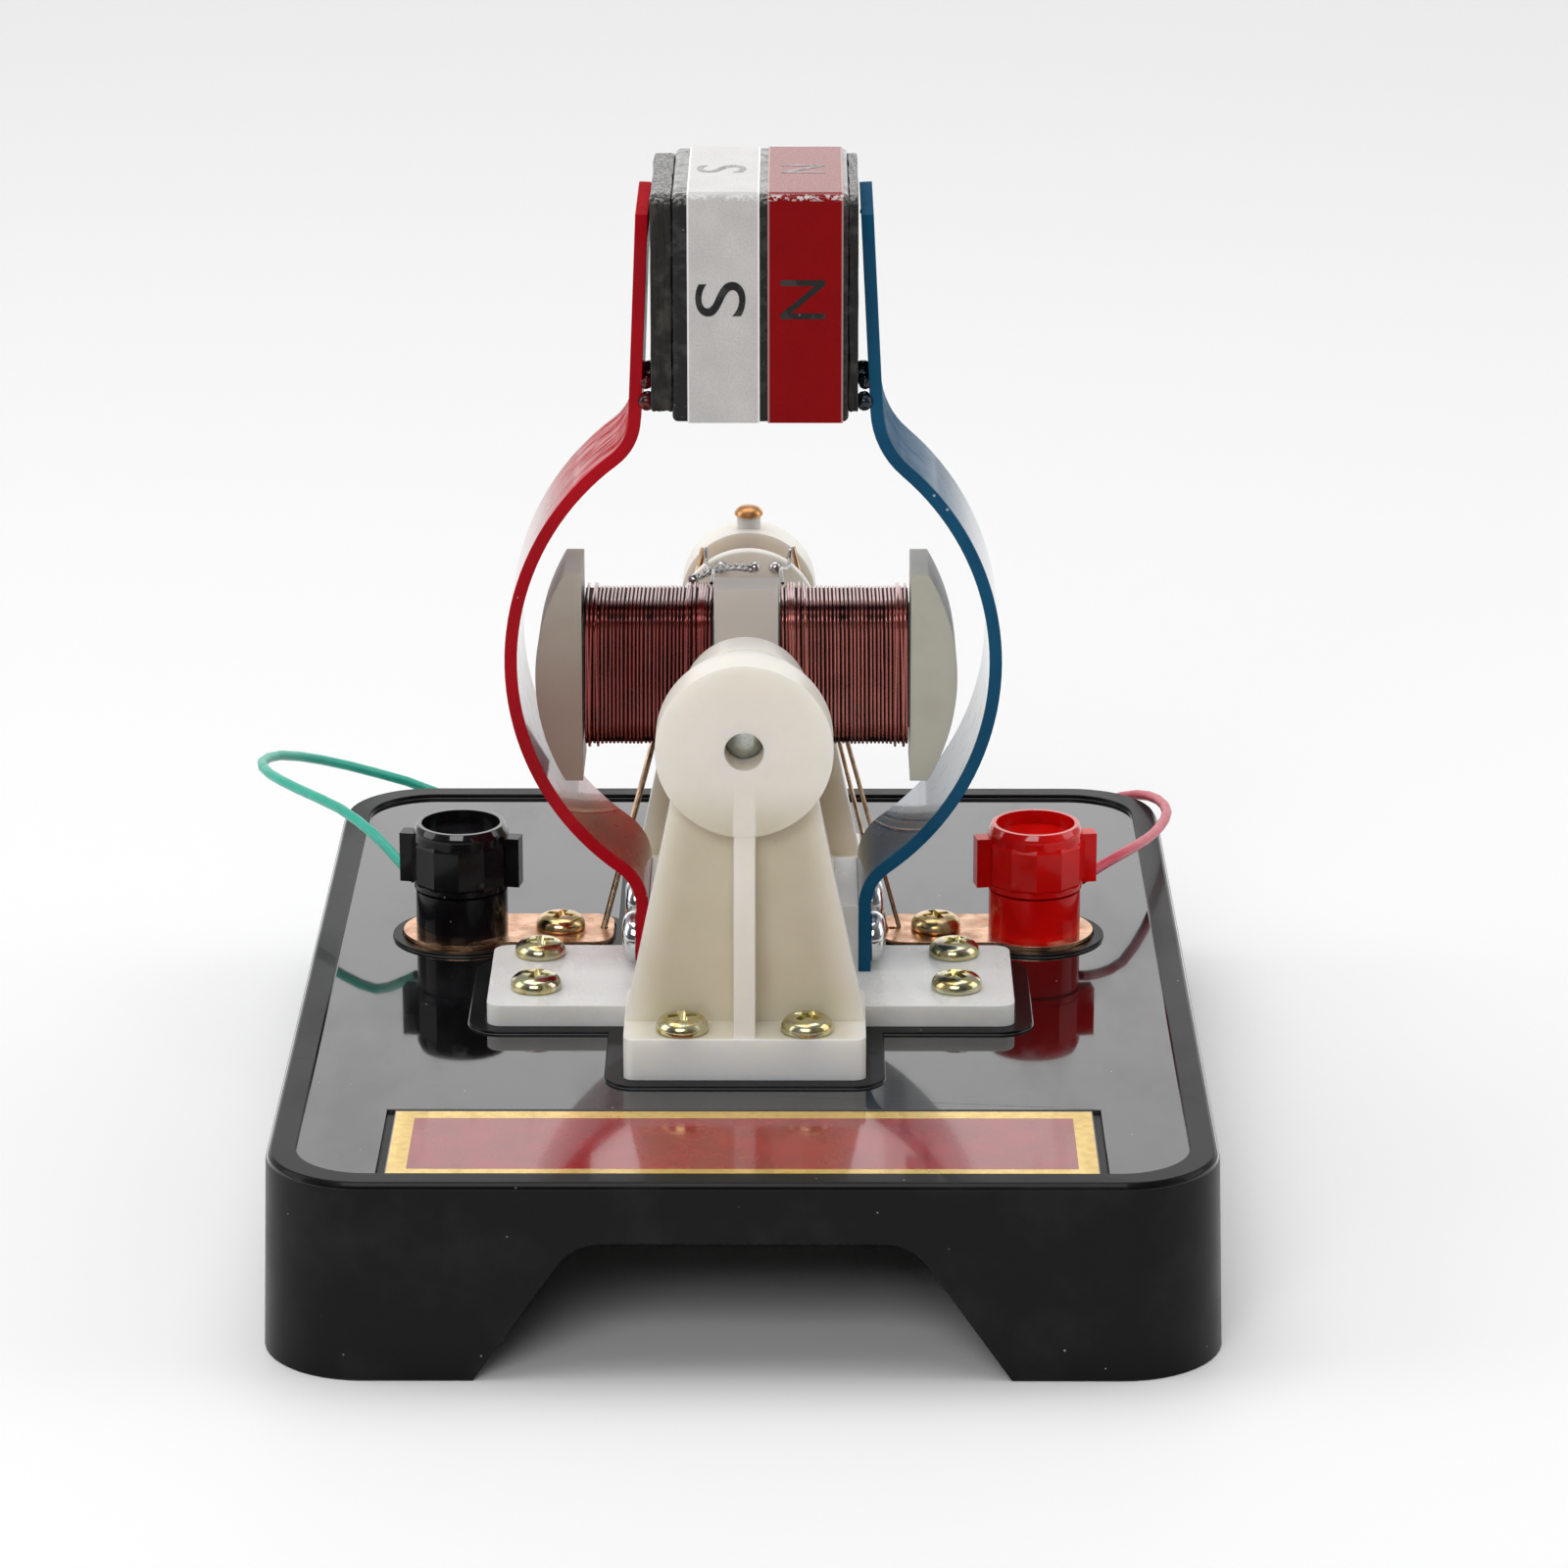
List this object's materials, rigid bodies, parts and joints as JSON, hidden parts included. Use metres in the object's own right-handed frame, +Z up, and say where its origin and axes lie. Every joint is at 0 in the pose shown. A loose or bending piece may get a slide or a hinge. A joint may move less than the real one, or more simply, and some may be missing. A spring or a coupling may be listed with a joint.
{
  "type": "demonstration electric motor",
  "caption": "Bench model of a direct-current motor: a wound armature turns in two bearing stands between bent pole strips under a block magnet, with screw terminals.",
  "frame": {"origin": "centre of the base's footprint, on the table", "axes": "+Z up, +X to the right seen from the name plate side, +Y to the rear along the shaft"},
  "size_m": [0.1279, 0.1882, 0.131],
  "materials": {
    "black_base_plastic": "moulded black plastic, high gloss, slight wear",
    "name_plate_print": "dark red print with a gold border, bare of text",
    "ivory_nylon": "translucent ivory moulding, satin",
    "white_nylon": "milky white moulding, satin",
    "plug_brass": "small domed brass plug",
    "yellow_zinc": "yellow zinc plating, iridescent",
    "red_strip_paint": "glossy red enamel on bent strip",
    "blue_strip_paint": "glossy blue enamel on bent strip",
    "bolt_chrome": "bright plated bolt",
    "nut_steel": "plated nut",
    "magnet_ferrite": "dark lacquered ferrite",
    "dark_side_plate": "rough dark side plate",
    "white_label": "white label, lightly speckled",
    "red_label": "red label, glossy",
    "dark_glue": "dark hardened glue",
    "shaft_steel": "turned steel",
    "former_plastic": "milky bobbin plastic",
    "core_iron": "stacked iron, hidden",
    "enamelled_wire": "enamelled copper wire, close wound",
    "hub_nylon": "ivory hub and disc",
    "commutator_copper": "copper half rings",
    "tinned_tails": "soldered wire ends",
    "contact_copper": "copper contact plate",
    "copper_screws": "yellow zinc screw",
    "brush_bronze": "springy bronze wire",
    "black_terminal_plastic": "glossy black plastic",
    "red_terminal_plastic": "glossy red plastic",
    "stud_brass": "brass thread",
    "green_insulation": "teal PVC insulation",
    "red_insulation": "pink-red PVC insulation",
    "tinned_strands": "bare copper strands, part tinned"
  },
  "bodies": {
    "frame": {"base_shell": "black_base_plastic", "name_plate": "name_plate_print", "front_stand": "ivory_nylon", "rear_stand": "ivory_nylon", "oil_plug": "plug_brass", "stand_screws": "yellow_zinc", "left_pole_bracket": "white_nylon", "right_pole_bracket": "white_nylon", "bracket_screws": "yellow_zinc", "red_pole_strip": "red_strip_paint", "blue_pole_strip": "blue_strip_paint", "pole_bolts": "bolt_chrome", "pole_nuts": "nut_steel", "magnet_block": "magnet_ferrite", "left_magnet_plate": "dark_side_plate", "right_magnet_plate": "dark_side_plate", "south_label": "white_label", "north_label": "red_label", "glue_blobs": "dark_glue", "left_contact_plate": "contact_copper", "right_contact_plate": "contact_copper", "contact_screws": "copper_screws", "left_brush": "brush_bronze", "right_brush": "brush_bronze", "black_post": "black_terminal_plastic", "red_post": "red_terminal_plastic", "left_stud": "stud_brass", "right_stud": "stud_brass", "stud_nuts": "nut_steel", "green_lead": "green_insulation", "green_lead_coil": "green_insulation", "green_lead_ends": "tinned_strands", "red_lead": "red_insulation", "red_lead_coil": "red_insulation", "red_lead_ends": "tinned_strands"},
    "armature": {"shaft": "shaft_steel", "armature_former": "former_plastic", "iron_core": "core_iron", "left_winding": "enamelled_wire", "right_winding": "enamelled_wire", "front_hub": "hub_nylon", "commutator_hub": "hub_nylon", "upper_segment": "commutator_copper", "lower_segment": "commutator_copper", "coil_tails": "tinned_tails"},
    "black_cap_insert": {"black_cap_insert": "stud_brass"},
    "red_cap_insert": {"red_cap_insert": "stud_brass"},
    "black_cap": {"black_cap": "black_terminal_plastic"},
    "red_cap": {"red_cap": "red_terminal_plastic"}
  },
  "joints": [
    {"name": "armature_spin", "type": "hinge", "parent": "frame", "child": "armature", "pos_m": [0, 0, 0.0663], "axis": [0, 1, 0], "continuous": true},
    {"name": "black_cap_rise", "type": "slide", "parent": "frame", "child": "black_cap_insert", "axis": [0, 0, 1], "range_m": [0, 0.0021]},
    {"name": "black_cap_turn", "type": "hinge", "parent": "black_cap_insert", "child": "black_cap", "pos_m": [-0.0381, 0.0145, 0.0355], "axis": [0, 0, 1], "range_deg": [0, 1080]},
    {"name": "red_cap_rise", "type": "slide", "parent": "frame", "child": "red_cap_insert", "axis": [0, 0, 1], "range_m": [0, 0.0021]},
    {"name": "red_cap_turn", "type": "hinge", "parent": "red_cap_insert", "child": "red_cap", "pos_m": [0.0381, 0.0145, 0.0355], "axis": [0, 0, 1], "range_deg": [0, 1080]}
  ],
  "couplings": [
    {"joint": "black_cap_rise", "follows": "black_cap_turn", "m_per_rad": 0.0001114},
    {"joint": "red_cap_rise", "follows": "red_cap_turn", "m_per_rad": 0.0001114}
  ]
}
